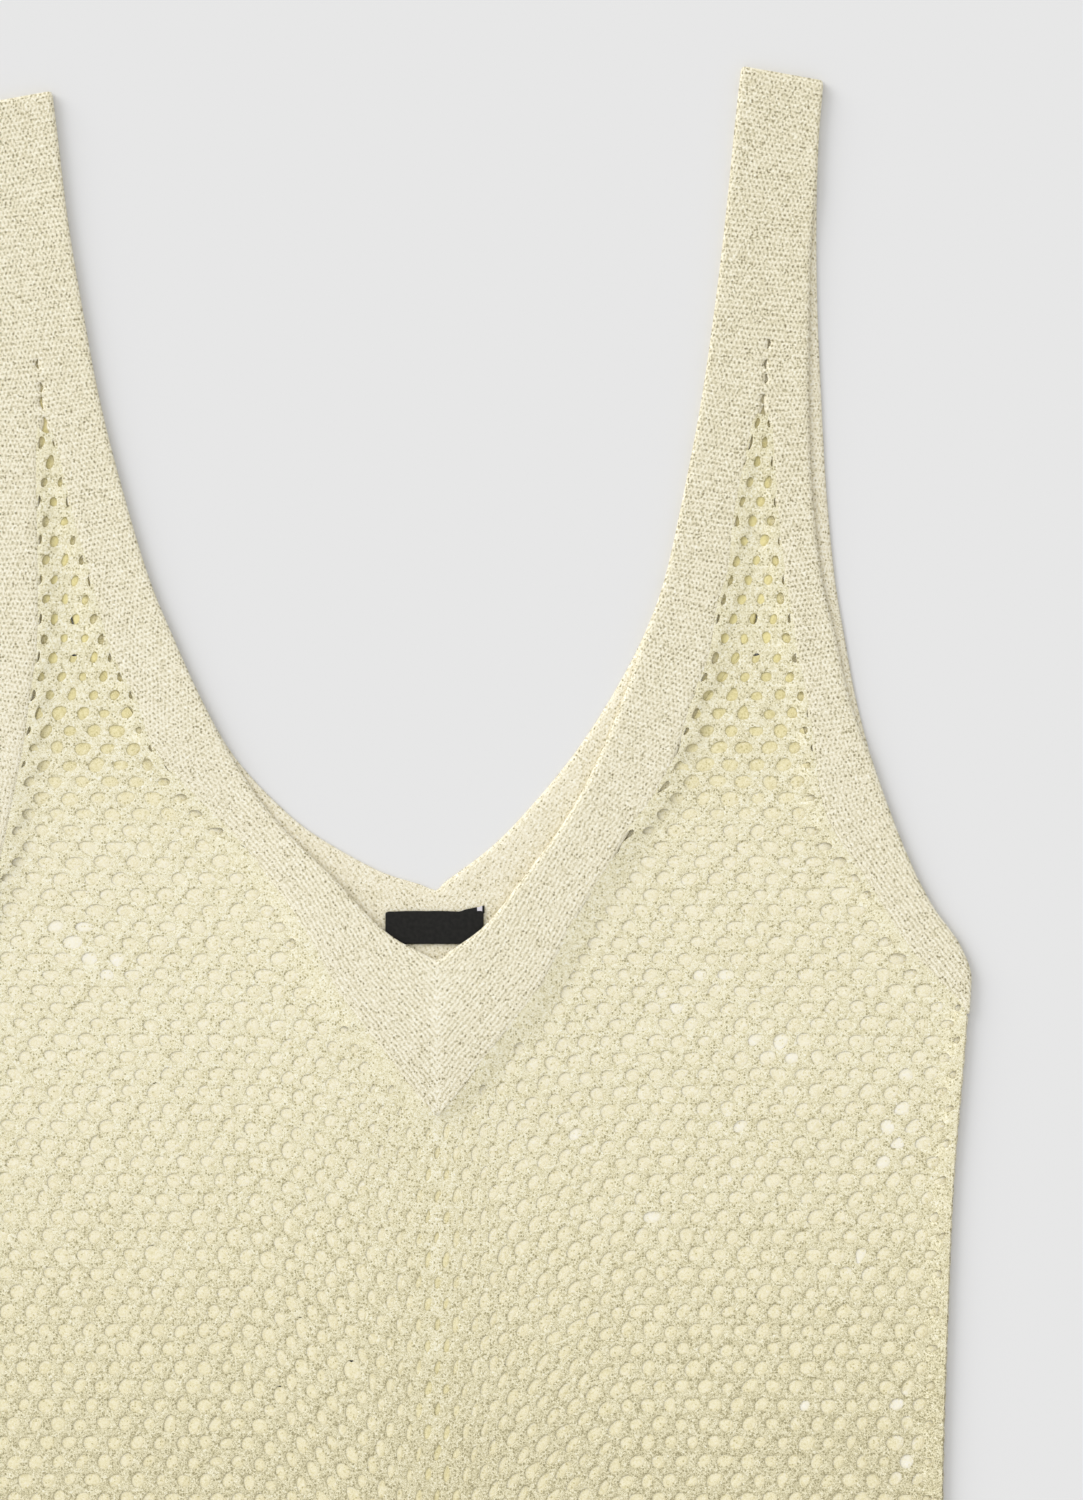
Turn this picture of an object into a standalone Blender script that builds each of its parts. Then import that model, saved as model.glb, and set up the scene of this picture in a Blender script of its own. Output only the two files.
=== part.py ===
"""Sleeveless maxi dress in open lurex knit, laid flat: a front panel and a back panel, each knitted
in one piece with its own shoulder straps, and a folded ribbon label with a small tab inside the back.

The dress lies on its back on the XY plane, with the shoulders towards +Y, the hem towards -Y and the
front facing +Z. The origin is under the middle of its bounding box. Sizes are in millimetres until
they become vertices."""

import math
from collections import namedtuple

import bmesh
import bpy

MM = 0.001

LENGTH = 1320.0             # highest shoulder point to hem
WALL = 1.6                  # thickness of the knitted wall
SEAM_GAP = 0.3              # between two pieces that are sewn together or lie on each other
UNDERARM_DROP = 345.0       # highest shoulder point to the underarm, where the side seams start
BACK_V_DROP = 308.6         # highest shoulder point to the bottom of the back V
FRONT_V_DROP = 334.9        # the front V is cut deeper than the back one
LEFT_STRAP_DROP = 9.4       # the left strap lies this much lower than the right one
STRAP_TOP_SLANT = 5.6       # each strap's seam is lower at its outer end
SLANT_REACH = 60.0          # the rows of the strap are level again this far below its seam

LABEL_RISE = 1.3            # how far the front rises over the folded label
LABEL_NEAR = 28.0           # it stays up to this distance from the middle of the label
LABEL_FAR = 95.0            # and lies on the back again from this distance on

STRAP_ROWS = 12             # rows of faces down the narrow part of a strap
YOKE_ROWS = 12              # rows from there to the bottom of the V
BODY_ROWS = 26              # rows from the bottom of the V to the hem
COLUMNS = 11                # columns from the neckline or the centre line to the outer edge
YOKE_DROP = 200.0           # where the strap begins to widen into the yoke
OUTER_CROWDING = 1.35       # over 1 brings the columns closer together near the outer edge
V_CROWDING = 1.5            # over 1 brings the yoke's rows closer together near the V
HEM_STRETCH = 1.6           # over 1 makes the body's rows longer towards the hem
HEM_SHARE = 0.65            # the share of the body's rows that this lengthening takes

LABEL = {"left": -19.5, "right": 17.6, "top": 317.3, "bottom": 329.7, "thickness": 1.0}
TAB = {"left": 8.4, "right": 17.9, "top": 315.2, "bottom": 317.0, "thickness": 1.0}
FOLD_RADIUS = 0.45          # the ribbon's folded lower edge
FOLD_SEGMENTS = 4
CREASE_ANGLE = 0.6          # edges sharper than this, in radians, are shaded as edges

Finish = namedtuple("Finish", "colour roughness metallic")
OUTSIDE_KNIT = Finish((0.740, 0.690, 0.510, 1.0), 0.62, 0.12)
INSIDE_KNIT = Finish((0.800, 0.745, 0.560, 1.0), 0.66, 0.08)
RIBBON = Finish((0.026, 0.026, 0.027, 1.0), 0.50, 0.0)

# The edges above the underarms: the drop below the highest shoulder point, and how far each edge lies
# from the centre line. The straps lie unevenly: the left one is further out.
Edge = namedtuple("Edge", "drop neck_left neck_right arm_left arm_right")
BACK_EDGES = [
    Edge(0.0, 145.5, 114.0, 175.5, 145.1),
    Edge(24.4, 142.5, 111.4, 174.8, 143.3),
    Edge(58.1, 138.4, 108.0, 172.9, 142.5),
    Edge(91.9, 132.8, 103.9, 171.8, 142.9),
    Edge(125.6, 126.4, 99.0, 171.0, 144.4),
    Edge(159.4, 117.8, 92.6, 171.4, 146.3),
    Edge(193.1, 107.6, 85.1, 172.9, 149.6),
    Edge(215.6, 98.3, 76.5, 175.5, 153.4),
    Edge(238.1, 88.1, 64.5, 179.6, 157.5),
    Edge(260.6, 75.0, 49.5, 184.5, 163.5),
    Edge(283.1, 53.3, 30.4, 189.8, 171.4),
    Edge(294.4, 36.4, 18.8, 192.4, 175.9),
    Edge(305.6, 13.9, 3.8, 194.6, 180.8),
    Edge(308.6, 0.0, 0.0, 195.2, 182.4),
    Edge(316.9, 0.0, 0.0, 196.9, 187.1),
    Edge(328.1, 0.0, 0.0, 198.4, 195.4),
    Edge(339.4, 0.0, 0.0, 200.3, 200.4),
    Edge(345.0, 0.0, 0.0, 200.6, 200.6),
]

# The front neckline leaves the back one at the yoke and runs down to the deeper V.
Neck = namedtuple("Neck", "drop neck_left neck_right")
FRONT_NECK = [
    Neck(0.0, 145.5, 114.0),
    Neck(24.4, 142.5, 111.4),
    Neck(58.1, 138.4, 108.0),
    Neck(91.9, 132.8, 103.9),
    Neck(125.6, 126.4, 99.0),
    Neck(159.4, 117.8, 92.6),
    Neck(193.1, 107.6, 85.1),
    Neck(215.6, 98.3, 77.3),
    Neck(238.1, 88.1, 69.4),
    Neck(260.6, 76.1, 60.0),
    Neck(283.1, 60.4, 48.0),
    Neck(305.6, 37.9, 31.5),
    Neck(316.9, 27.6, 22.9),
    Neck(324.4, 19.8, 15.9),
    Neck(329.6, 12.4, 8.6),
    Neck(334.9, 0.0, 0.0),
]

# The right front strap lies a little inwards of the back one, which shows beside it.
Tuck = namedtuple("Tuck", "drop inset")
FRONT_TUCK = [
    Tuck(45.0, 0.0),
    Tuck(69.0, 2.0),
    Tuck(92.0, 2.9),
    Tuck(125.6, 4.6),
    Tuck(159.4, 5.4),
    Tuck(193.1, 4.9),
    Tuck(215.6, 3.4),
    Tuck(238.1, 2.4),
    Tuck(262.0, 0.0),
]

# Half of the width between the side seams, from the underarms to the hem.
Side = namedtuple("Side", "drop half_width")
SIDES = [
    Side(345.0, 200.6),
    Side(373.0, 198.4),
    Side(418.0, 194.6),
    Side(463.0, 192.6),
    Side(530.0, 190.5),
    Side(600.0, 190.4),
    Side(700.0, 197.0),
    Side(800.0, 207.0),
    Side(950.0, 223.0),
    Side(1100.0, 239.0),
    Side(1320.0, 262.0),
]


def smooth_step(start, end, value):
    t = min(max((value - start) / (end - start), 0.0), 1.0)
    return t * t * (3.0 - 2.0 * t)


def along(table, column, drop):
    """A smooth curve through one column of a table of rows with rising drops."""
    if drop <= table[0].drop:
        return getattr(table[0], column)
    if drop >= table[-1].drop:
        return getattr(table[-1], column)
    i = 0
    while table[i + 1].drop < drop:
        i += 1

    def slope(k):
        low = table[max(k - 1, 0)]
        high = table[min(k + 1, len(table) - 1)]
        return (getattr(high, column) - getattr(low, column)) / (high.drop - low.drop)

    a = table[i]
    b = table[i + 1]
    span = b.drop - a.drop
    t = (drop - a.drop) / span
    return (
        getattr(a, column) * (2.0 * t**3 - 3.0 * t**2 + 1.0)
        + getattr(b, column) * (3.0 * t**2 - 2.0 * t**3)
        + slope(i) * span * (t**3 - 2.0 * t**2 + t)
        + slope(i + 1) * span * (t**3 - t**2)
    )


def neck_edge(neck_table, side, drop, v_drop):
    if drop >= v_drop:
        return 0.0
    return max(along(neck_table, "neck_right" if side > 0 else "neck_left", drop), 0.0)


def outer_edge(side, drop, tucked):
    if drop >= UNDERARM_DROP:
        return along(SIDES, "half_width", drop)
    edge = along(BACK_EDGES, "arm_right" if side > 0 else "arm_left", drop)
    if tucked and side > 0:
        edge -= max(along(FRONT_TUCK, "inset", drop), 0.0)
    return edge


def row_drops(side, v_drop):
    """Drops of the rows of one half, from the strap's seam to the hem."""
    top = 0.0 if side > 0 else LEFT_STRAP_DROP
    drops = [top + (YOKE_DROP - top) * i / STRAP_ROWS for i in range(STRAP_ROWS)]
    for i in range(YOKE_ROWS):
        t = i / YOKE_ROWS
        drops.append(YOKE_DROP + (v_drop - YOKE_DROP) * (1.0 - (1.0 - t) ** V_CROWDING))
    for i in range(BODY_ROWS + 1):
        t = i / BODY_ROWS
        share = (1.0 - HEM_SHARE) * t + HEM_SHARE * t**HEM_STRETCH
        drops.append(v_drop + (LENGTH - v_drop) * share)
    return drops


def rise_over_label(x, drop):
    """How far the front lies above its place on the back, because the label is between the two."""
    distance = math.hypot(x, drop - (LABEL["top"] + LABEL["bottom"]) / 2)
    return LABEL_RISE * (1.0 - smooth_step(LABEL_NEAR, LABEL_FAR, distance))


def knitted_panel(name, finish, collection, neck_table, v_drop, lies_on_top):
    """One panel with its straps: an open grid of rows, given its wall by Solidify."""
    resting_height = WALL + SEAM_GAP if lies_on_top else 0.0
    mesh = bmesh.new()
    rows = {}
    for side in (1, -1):
        top = 0.0 if side > 0 else LEFT_STRAP_DROP
        rows[side] = []
        for drop in row_drops(side, v_drop):
            inner = neck_edge(neck_table, side, drop, v_drop)
            outer = outer_edge(side, drop, lies_on_top)
            slant = STRAP_TOP_SLANT * (1.0 - smooth_step(0.0, SLANT_REACH, drop - top))
            row = []
            for j in range(COLUMNS + 1):
                across = 1.0 - (1.0 - j / COLUMNS) ** OUTER_CROWDING
                if j == 0 and inner == 0.0 and side < 0:
                    row.append(rows[1][len(rows[side])][0])   # the halves share the centre line
                    continue
                x = side * (inner + (outer - inner) * across)
                height = resting_height
                if lies_on_top:
                    height += rise_over_label(x, drop)
                y = LENGTH / 2 - drop - slant * across
                row.append(mesh.verts.new((x * MM, y * MM, height * MM)))
            rows[side].append(row)
        for upper, lower in zip(rows[side], rows[side][1:]):
            for j in range(COLUMNS):
                corners = [upper[j], lower[j], lower[j + 1], upper[j + 1]]
                mesh.faces.new(corners if side > 0 else corners[::-1])
    bmesh.ops.recalc_face_normals(mesh, faces=mesh.faces[:])
    if sum(face.normal.z for face in mesh.faces) < 0.0:
        bmesh.ops.reverse_faces(mesh, faces=mesh.faces[:])
    panel = add_object(name, mesh, finish, collection)
    wall = panel.modifiers.new("wall", "SOLIDIFY")
    wall.thickness = WALL * MM
    wall.offset = 1.0
    wall.use_even_offset = True
    return panel


def folded_ribbon(name, size, collection):
    """A ribbon folded in two and pressed flat, its fold along the lower edge, lying on the back."""
    mesh = bmesh.new()
    bmesh.ops.create_cube(mesh, size=1.0)
    width = size["right"] - size["left"]
    height = size["bottom"] - size["top"]
    bmesh.ops.scale(mesh, vec=(width * MM, height * MM, size["thickness"] * MM), verts=mesh.verts[:])
    lower = [e for e in mesh.edges if all(v.co.y < 0.0 for v in e.verts)]
    fold = [e for e in lower if e.verts[0].co.x * e.verts[1].co.x < 0.0]
    bmesh.ops.bevel(
        mesh, geom=fold, offset=FOLD_RADIUS * MM, segments=FOLD_SEGMENTS, profile=0.5, affect="EDGES"
    )
    centre = (
        (size["left"] + size["right"]) / 2 * MM,
        (LENGTH / 2 - (size["top"] + size["bottom"]) / 2) * MM,
        (WALL + SEAM_GAP + size["thickness"] / 2) * MM,
    )
    bmesh.ops.translate(mesh, vec=centre, verts=mesh.verts[:])
    return add_object(name, mesh, RIBBON, collection)


def add_object(name, mesh, finish, collection):
    data = bpy.data.meshes.new(name)
    mesh.to_mesh(data)
    mesh.free()
    data.shade_smooth()
    data.set_sharp_from_angle(angle=CREASE_ANGLE)
    material = bpy.data.materials.new(name + "_material")
    material.use_nodes = True
    shader = material.node_tree.nodes["Principled BSDF"]
    shader.inputs["Base Color"].default_value = finish.colour
    shader.inputs["Roughness"].default_value = finish.roughness
    shader.inputs["Metallic"].default_value = finish.metallic
    material.diffuse_color = finish.colour
    data.materials.append(material)
    item = bpy.data.objects.new(name, data)
    collection.objects.link(item)
    return item


def main():
    for item in list(bpy.data.objects):
        bpy.data.objects.remove(item)
    dress = bpy.data.collections.new("open_knit_maxi_dress")
    bpy.context.scene.collection.children.link(dress)
    knitted_panel("back_panel", INSIDE_KNIT, dress, BACK_EDGES, BACK_V_DROP, lies_on_top=False)
    knitted_panel("front_panel", OUTSIDE_KNIT, dress, FRONT_NECK, FRONT_V_DROP, lies_on_top=True)
    folded_ribbon("label", LABEL, dress)
    folded_ribbon("size_tab", TAB, dress)


main()
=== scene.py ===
# Open-knit maxi dress in pale lurex yarn, laid flat: the knitted net, its dense bands and the ribbon label.
# The tables are in millimetres, drops are measured down from the highest shoulder point.
import functools
import math
import bmesh
import bpy
import numpy as np
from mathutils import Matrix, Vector


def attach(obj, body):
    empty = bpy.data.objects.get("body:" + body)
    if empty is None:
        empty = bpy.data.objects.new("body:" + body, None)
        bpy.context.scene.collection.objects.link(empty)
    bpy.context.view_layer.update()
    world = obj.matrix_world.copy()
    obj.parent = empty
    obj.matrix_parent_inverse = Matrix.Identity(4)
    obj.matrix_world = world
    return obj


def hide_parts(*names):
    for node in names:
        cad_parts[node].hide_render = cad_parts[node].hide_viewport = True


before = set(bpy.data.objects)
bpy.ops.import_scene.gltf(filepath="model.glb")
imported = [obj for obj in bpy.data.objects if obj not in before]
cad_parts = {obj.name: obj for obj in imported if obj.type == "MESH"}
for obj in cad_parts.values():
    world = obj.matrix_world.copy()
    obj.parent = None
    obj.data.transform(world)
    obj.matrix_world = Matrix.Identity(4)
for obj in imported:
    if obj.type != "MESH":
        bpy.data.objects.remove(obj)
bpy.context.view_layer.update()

mm = 0.001
scene = bpy.context.scene

# The dress, as in the CAD
dress = {
    "length": 1320.0,
    "wall": 1.6,
    "gap": 0.3,
    "underarm": 345.0,
    "backV": 308.6,
    "frontV": 334.9,
    "leftStrapDrop": 9.4,
    "strapSlant": 5.6,
    "slantReach": 60.0,
    "labelRise": 1.3,
    "labelNear": 28.0,
    "labelFar": 95.0,
    "labelDrop": 323.5,
}

# drop, neck left, neck right, arm left, arm right
backEdges = [
    (0.0, 145.5, 114.0, 175.5, 145.1),
    (24.4, 142.5, 111.4, 174.8, 143.3),
    (58.1, 138.4, 108.0, 172.9, 142.5),
    (91.9, 132.8, 103.9, 171.8, 142.9),
    (125.6, 126.4, 99.0, 171.0, 144.4),
    (159.4, 117.8, 92.6, 171.4, 146.3),
    (193.1, 107.6, 85.1, 172.9, 149.6),
    (215.6, 98.3, 76.5, 175.5, 153.4),
    (238.1, 88.1, 64.5, 179.6, 157.5),
    (260.6, 75.0, 49.5, 184.5, 163.5),
    (283.1, 53.3, 30.4, 189.8, 171.4),
    (294.4, 36.4, 18.8, 192.4, 175.9),
    (305.6, 13.9, 3.8, 194.6, 180.8),
    (308.6, 0.0, 0.0, 195.2, 182.4),
    (316.9, 0.0, 0.0, 196.9, 187.1),
    (328.1, 0.0, 0.0, 198.4, 195.4),
    (339.4, 0.0, 0.0, 200.3, 200.4),
    (345.0, 0.0, 0.0, 200.6, 200.6),
]

# drop, neck left, neck right
frontNeck = [
    (0.0, 145.5, 114.0),
    (24.4, 142.5, 111.4),
    (58.1, 138.4, 108.0),
    (91.9, 132.8, 103.9),
    (125.6, 126.4, 99.0),
    (159.4, 117.8, 92.6),
    (193.1, 107.6, 85.1),
    (215.6, 98.3, 77.3),
    (238.1, 88.1, 69.4),
    (260.6, 76.1, 60.0),
    (283.1, 60.4, 48.0),
    (305.6, 37.9, 31.5),
    (316.9, 27.6, 22.9),
    (324.4, 19.8, 15.9),
    (329.6, 12.4, 8.6),
    (334.9, 0.0, 0.0),
]

# drop, how far the right front strap lies inside the back one
frontTuck = [
    (45.0, 0.0), (69.0, 2.0), (92.0, 2.9), (125.6, 4.6), (159.4, 5.4),
    (193.1, 4.9), (215.6, 3.4), (238.1, 2.4), (262.0, 0.0),
]

# drop, half width between the side seams
sides = [
    (345.0, 200.6), (373.0, 198.4), (418.0, 194.6), (463.0, 192.6), (530.0, 190.5), (600.0, 190.4),
    (700.0, 197.0), (800.0, 207.0), (950.0, 223.0), (1100.0, 239.0), (1320.0, 262.0),
]

# Where the net begins: drop, distance from the centre line on the left and on the right
netNeckSide = [
    (0.0, 163.0, 135.5),
    (60.0, 156.5, 127.5),
    (105.0, 150.4, 124.1),
    (168.4, 137.4, 112.1),
    (191.6, 130.5, 109.5),
    (200.6, 128.3, 106.1),
    (220.9, 122.5, 102.8),
    (236.6, 114.0, 96.6),
    (256.1, 107.0, 90.8),
    (275.3, 90.5, 81.5),
    (285.8, 79.5, 73.0),
    (301.9, 65.5, 64.1),
    (318.0, 54.0, 53.6),
    (339.4, 43.1, 43.1),
    (349.9, 37.0, 37.0),
    (367.9, 21.4, 21.4),
    (382.1, 10.6, 10.6),
    (394.0, 0.0, 0.0),
]
netArmSide = [
    (0.0, 163.0, 135.5),
    (60.0, 156.5, 127.5),
    (105.0, 150.4, 124.1),
    (159.4, 149.6, 126.8),
    (189.4, 149.0, 129.8),
    (205.1, 149.0, 132.4),
    (219.8, 149.4, 134.6),
    (234.4, 151.6, 137.6),
    (256.0, 154.5, 141.0),
    (275.3, 158.4, 143.4),
    (287.6, 160.8, 148.3),
    (300.8, 163.9, 157.5),
    (313.5, 168.0, 165.4),
    (322.5, 173.0, 171.0),
    (331.9, 179.0, 177.4),
    (340.1, 185.8, 184.9),
    (346.9, 192.6, 192.4),
    (352.5, 198.2, 198.2),
]

# The back's net begins lower, so that the front's highest eyelets lie over dense cloth
backNeckSide = [
    (0.0, 163.0, 135.5),
    (120.0, 149.0, 125.0),
    (212.0, 136.0, 119.0),
    (240.0, 117.0, 100.0),
    (262.0, 103.0, 88.0),
    (285.8, 77.0, 72.0),
    (318.0, 52.0, 52.0),
    (349.9, 35.0, 35.0),
    (382.1, 9.0, 9.0),
    (391.0, 0.0, 0.0),
]
backArmSide = [
    (0.0, 163.0, 135.5),
    (120.0, 149.0, 125.0),
    (212.0, 136.0, 119.0),
    (240.0, 148.0, 133.0),
    (262.0, 154.5, 141.0),
    (287.6, 160.8, 148.3),
    (313.5, 168.0, 165.4),
    (331.9, 179.0, 177.4),
    (352.5, 198.2, 198.2),
]

# Where the wales run: drop, then the distance from the centre line of wales 0, 4, 8, 12, 16, 20 and 24
walesRight = [
    (105.0, -3.0, 26.6, 56.6, 86.6, 116.6, 146.6, 176.6),
    (159.4, 1.1, 31.1, 61.1, 91.1, 121.1, 151.1, 181.1),
    (189.4, 3.8, 33.8, 63.8, 93.8, 123.8, 153.8, 183.8),
    (215.6, 4.1, 34.9, 65.6, 96.4, 127.1, 157.9, 188.6),
    (238.1, -10.0, 22.0, 57.0, 92.6, 128.6, 164.3, 199.9),
    (275.6, -7.5, 16.0, 49.3, 89.8, 130.3, 169.5, 208.1),
    (303.8, -3.0, 19.0, 49.5, 89.6, 130.9, 172.1, 213.0),
    (350.6, 0.0, 25.5, 57.4, 94.5, 133.5, 172.5, 211.5),
    (394.1, 0.0, 27.8, 60.0, 95.1, 132.0, 169.5, 207.0),
    (463.1, 0.0, 28.1, 58.9, 92.3, 126.8, 161.3, 195.8),
    (538.1, 0.0, 28.1, 58.5, 91.1, 124.9, 158.6, 192.4),
]
walesLeft = [
    (105.0, 30.0, 59.3, 89.3, 119.3, 149.3, 179.3, 209.3),
    (159.4, 24.0, 54.0, 84.0, 114.0, 144.0, 174.0, 204.0),
    (189.4, 23.3, 53.3, 83.3, 113.3, 143.3, 173.3, 203.3),
    (215.6, 21.8, 52.5, 83.3, 113.6, 143.8, 174.0, 204.4),
    (238.1, 14.3, 46.9, 79.5, 112.5, 145.5, 177.8, 210.0),
    (275.6, -7.5, 26.3, 64.5, 106.5, 148.5, 187.5, 225.0),
    (303.8, -5.6, 23.3, 59.3, 102.8, 146.3, 188.3, 228.8),
    (350.6, 0.0, 25.9, 59.3, 97.9, 138.0, 177.8, 217.5),
    (394.1, 0.0, 27.8, 60.4, 96.0, 133.1, 170.6, 208.5),
    (463.1, 0.0, 28.1, 58.9, 92.3, 126.8, 161.3, 195.8),
    (538.1, 0.0, 28.1, 58.5, 91.1, 124.9, 158.6, 192.4),
]

# How far apart the rows of eyelets are: drop, two rows over the panel, two rows at the centre line
rowPitch = [
    (0.0, 14.6, 14.6),
    (215.6, 14.6, 14.6),
    (238.1, 13.5, 13.5),
    (275.6, 12.2, 12.2),
    (332.0, 12.1, 12.6),
    (378.8, 12.8, 15.0),
    (425.6, 13.9, 16.1),
    (463.1, 14.1, 16.1),
    (1320.0, 14.1, 15.4),
]

# The net: sizes in millimetres, areas in square millimetres
net = {
    "over": 0.8,            # its edge sinks into the bands this far beyond their joint,
    "overAtV": 1.0,         # and this much more below the two drops of vCurve, where the V's edge curves
    "vCurve": (262.0, 285.0),
    "vSamples": (270.0, 394.0, 200),
    "seamEdge": 1.9,        # the net ends this far inside the side seam,
    "panelEdge": 1.0,       # and at least this far inside the panel's edge
    "halfWales": 50,        # on each side of the centre line
    "stray": 0.16,          # how unevenly its corners lie,
    "strayUp": 0.04,        # also in height, where a corner was moved less than stillMoved
    "stillMoved": 0.4,
    "mostMoved": 13.0,      # a corner that was moved further lies outside the net
    "leastArea": 1.0,       # smaller cells are left out,
    "bodyDrop": 262.0,      # and above this drop the cells where the net is narrower than leastNet
    "leastNet": 4.8,
    "strapHole": 9.0,       # the smallest cells that have an eyelet, above and below bodyDrop
    "bodyHole": 38.0,
    "leastAcross": 2.4,
    "underV": 288.0,        # below this drop a cell has no eyelet within besideV of the V's band
    "besideV": 5.0,
    "vAbove": 3.0,
    "armFoot": 352.0,
    "stitchesAcross": 5.0,  # stitches of yarn to a wale and to a row
    "stitchesDown": 3.75,
    # painted highlight: the net's corners, on the strands between the eyelets, are drawn paler
    "cornerHighlight": 0.01,
}
hem = {"height": 11.0, "columns": 150, "rows": 5, "overNet": 1.0, "proud": 0.03}
viewFoot = 545.0            # the picture ends a little above this drop


def smoothStep(low, high, value):
    t = np.clip((np.asarray(value, float) - low) / (high - low), 0.0, 1.0)
    return t * t * (3.0 - 2.0 * t)


def curve(table, column, drop):
    # a smooth curve through one column of a table
    rows = np.array(table)
    drops, values = rows[:, 0], rows[:, column]
    last = len(drops) - 1
    k = np.arange(last + 1)
    low, high = np.maximum(k - 1, 0), np.minimum(k + 1, last)
    slopes = (values[high] - values[low]) / (drops[high] - drops[low])
    drop = np.clip(np.asarray(drop, float), drops[0], drops[-1])
    i = np.clip(np.searchsorted(drops, drop, side="right") - 1, 0, last - 1)
    span = drops[i + 1] - drops[i]
    t = (drop - drops[i]) / span
    return (
        values[i] * (2 * t**3 - 3 * t**2 + 1)
        + values[i + 1] * (3 * t**2 - 2 * t**3)
        + slopes[i] * span * (t**3 - 2 * t**2 + t)
        + slopes[i + 1] * span * (t**3 - t**2)
    )


def neckEdge(panel, side, drop):
    table = frontNeck if panel == "front" else backEdges
    deep = dress["frontV"] if panel == "front" else dress["backV"]
    edge = np.maximum(curve(table, 2 if side > 0 else 1, drop), 0.0)
    return np.where(np.asarray(drop) >= deep, 0.0, edge)


def outerEdge(panel, side, drop):
    arm = curve(backEdges, 4 if side > 0 else 3, drop)
    if panel == "front" and side > 0:
        arm = arm - np.maximum(curve(frontTuck, 1, drop), 0.0)
    return np.where(np.asarray(drop) >= dress["underarm"], curve(sides, 1, drop), arm)


def netEdges(panel, side, drop):
    # the net lies between these two distances from the centre line
    neckSide, armSide = (netNeckSide, netArmSide) if panel == "front" else (backNeckSide, backArmSide)
    column = 2 if side > 0 else 1
    drop = np.asarray(drop, float)
    inner = np.where(drop >= neckSide[-1][0], 0.0, np.maximum(curve(neckSide, column, drop), 0.0))
    seam = curve(sides, 1, drop) - net["seamEdge"]
    outer = np.where(drop >= armSide[-1][0], seam, curve(armSide, column, drop))
    return inner, np.maximum(np.minimum(outer, outerEdge(panel, side, drop) - net["panelEdge"]), inner)


def sunk(drop):
    # how far the net's edge sinks into the neck's band
    return net["over"] + net["overAtV"] * smoothStep(*net["vCurve"], drop)


def riseOverLabel(x, drop):
    distance = np.hypot(x, np.asarray(drop) - dress["labelDrop"])
    return dress["labelRise"] * (1.0 - smoothStep(dress["labelNear"], dress["labelFar"], distance))


def underside(panel, x, drop):
    # height of the panel's lower face
    if panel == "back":
        return np.zeros_like(np.asarray(x, float))
    return dress["wall"] + dress["gap"] + riseOverLabel(x, drop)


def place(x, drop, z):
    return x * mm, (dress["length"] / 2 - drop) * mm, z * mm


# Wales run down the panel and rows across it
dropSamples = np.arange(90.0, dress["length"] + 30.0, 1.5)
waleKnots = np.arange(0.0, 25.0, 4.0)
rowWale = 20.0              # the rows are counted along this wale
centreWales = (1.5, 10.0)   # between these two the rows leave the centre line's own distance


def waleAcross(side, wale, drop):
    # distance from the centre line of a wale
    table = walesRight if side > 0 else walesLeft
    knots = np.array([curve(table, k + 1, drop) for k in range(len(waleKnots))])
    skirt = curve(sides, 1, drop) / curve(sides, 1, table[-1][0])
    knots = knots * np.where(np.asarray(drop) > table[-1][0], skirt, 1.0)
    return np.array([np.interp(wale, waleKnots, knots[:, n]) for n in range(knots.shape[1])])


def rowsDown(wale):
    # number of rows from the top of the samples down to each sample, along one wale
    centre = 1.0 - smoothStep(*centreWales, wale)
    pitch = curve(rowPitch, 1, dropSamples) * (1.0 - centre) + curve(rowPitch, 2, dropSamples) * centre
    return np.concatenate([[0.0], np.cumsum(2.0 * np.diff(dropSamples) / pitch[:-1])])


netRows = int(rowsDown(rowWale)[-1])
print("shapes and tables ready")


def latticePoints(panel, shift, rng):
    # every corner of the net's hexagons: (twice the wale, three times the row) -> across, drop, wale, row
    # and how far it was moved to lie inside the net's edges
    points = {}
    thirds = np.arange(0, 3 * netRows + 3)
    vDrops = np.linspace(*net["vSamples"])
    for halfWale in range(-net["halfWales"] - 1, net["halfWales"] + 2):
        wale = halfWale / 2 + shift[0]
        side = 1 if wale >= 0 else -1
        drops = np.interp(thirds / 3 + shift[1], rowsDown(abs(wale)), dropSamples)
        drops = drops + rng.normal(0.0, net["stray"], len(drops))
        x = waleAcross(side, abs(wale), drops) + rng.normal(0.0, net["stray"], len(drops))
        # near the point of the V the edge is met from above, elsewhere from the side
        vEdge = netEdges(panel, side, vDrops)[0] - sunk(vDrops)
        vDrop = np.interp(-np.abs(x), -vEdge, vDrops)
        belowV = np.abs(x) < vEdge[0]
        newDrops = np.where(belowV, np.maximum(drops, vDrop), drops)
        newDrops = np.minimum(newDrops, dress["length"] - hem["height"])
        inner, outer = netEdges(panel, side, newDrops)
        inner, outer = inner - sunk(newDrops), outer + net["over"]
        beside = np.clip(x, inner, np.maximum(outer, inner))
        newX = np.where(belowV, np.minimum(x, outer), beside)
        moved = np.hypot(newX - x, newDrops - drops)
        for third in range(len(thirds)):
            points[halfWale, third] = (side * newX[third], newDrops[third], wale, third / 3, moved[third])
    return points
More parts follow.
